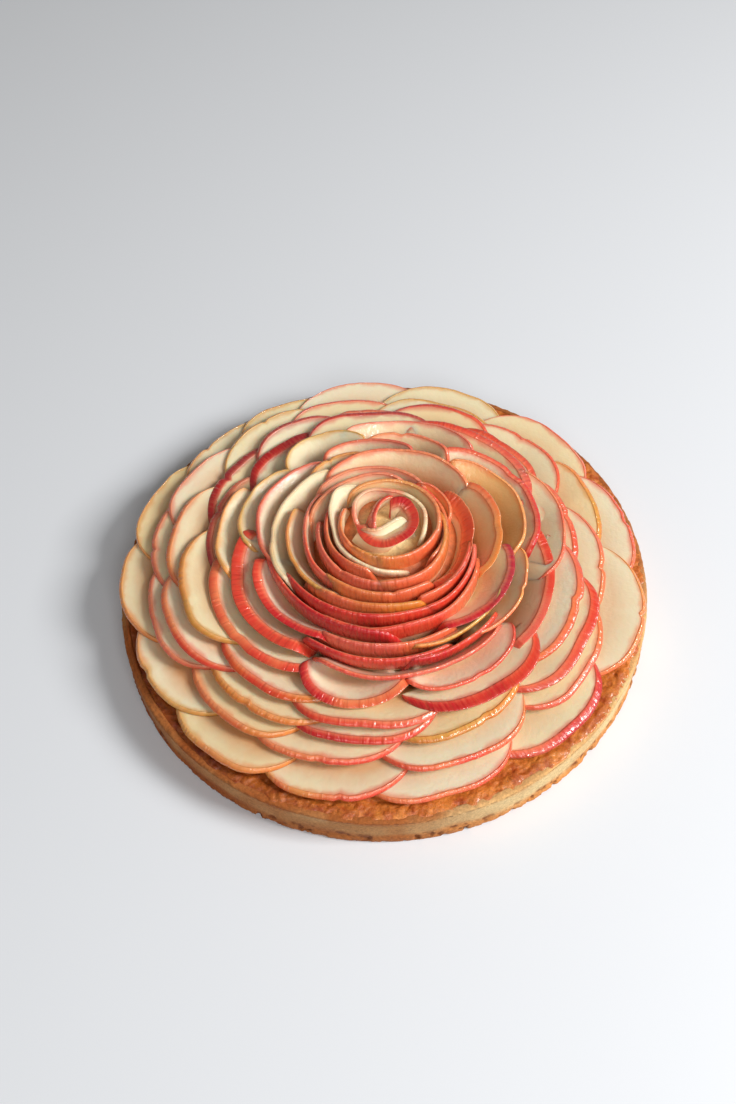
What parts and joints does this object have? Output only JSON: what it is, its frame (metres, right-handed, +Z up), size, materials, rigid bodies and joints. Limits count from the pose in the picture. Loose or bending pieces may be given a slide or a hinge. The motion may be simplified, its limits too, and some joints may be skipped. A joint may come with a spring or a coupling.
{
  "type": "apple rose tart",
  "caption": "Round straight-sided shortcrust tart with almond filling, covered in overlapping rings of thin apple slices that rise to a rose in the middle.",
  "frame": {"origin": "centre of the crust's flat underside, on the surface it stands on", "axes": "+Z up; +X to the right and +Y away, as the tart is seen from its front"},
  "size_m": [0.22, 0.22, 0.0553],
  "materials": {
    "crust": "baked shortcrust, matt and crumbly",
    "filling": "browned almond filling, grainy with a syrup glaze",
    "apple": "glazed apple flesh with red and yellow skin edges",
    "rose": "glazed apple flesh with red and orange skin edges"
  },
  "bodies": {
    "root": {"crust": "crust", "filling": "filling", "ring1_slice01": "apple", "ring1_slice02": "apple", "ring1_slice03": "apple", "ring1_slice04": "apple", "ring1_slice05": "apple", "ring1_slice06": "apple", "ring1_slice07": "apple", "ring1_slice08": "apple", "ring1_slice09": "apple", "ring1_slice10": "apple", "ring1_slice11": "apple", "ring1_slice12": "apple", "ring1_slice13": "apple", "ring1_slice14": "apple", "ring2_slice01": "apple", "ring2_slice02": "apple", "ring2_slice03": "apple", "ring2_slice04": "apple", "ring2_slice05": "apple", "ring2_slice06": "apple", "ring2_slice07": "apple", "ring2_slice08": "apple", "ring2_slice09": "apple", "ring2_slice10": "apple", "ring2_slice11": "apple", "ring2_slice12": "apple", "ring2_slice13": "apple", "ring3_slice01": "apple", "ring3_slice02": "apple", "ring3_slice03": "apple", "ring3_slice04": "apple", "ring3_slice05": "apple", "ring3_slice06": "apple", "ring3_slice07": "apple", "ring3_slice08": "apple", "ring3_slice09": "apple", "ring3_slice10": "apple", "ring3_slice11": "apple", "ring3_slice12": "apple", "ring4_slice01": "apple", "ring4_slice02": "apple", "ring4_slice03": "apple", "ring4_slice04": "apple", "ring4_slice05": "apple", "ring4_slice06": "apple", "ring4_slice07": "apple", "ring4_slice08": "apple", "ring4_slice09": "apple", "ring4_slice10": "apple", "rose": "rose"}
  },
  "joints": []
}
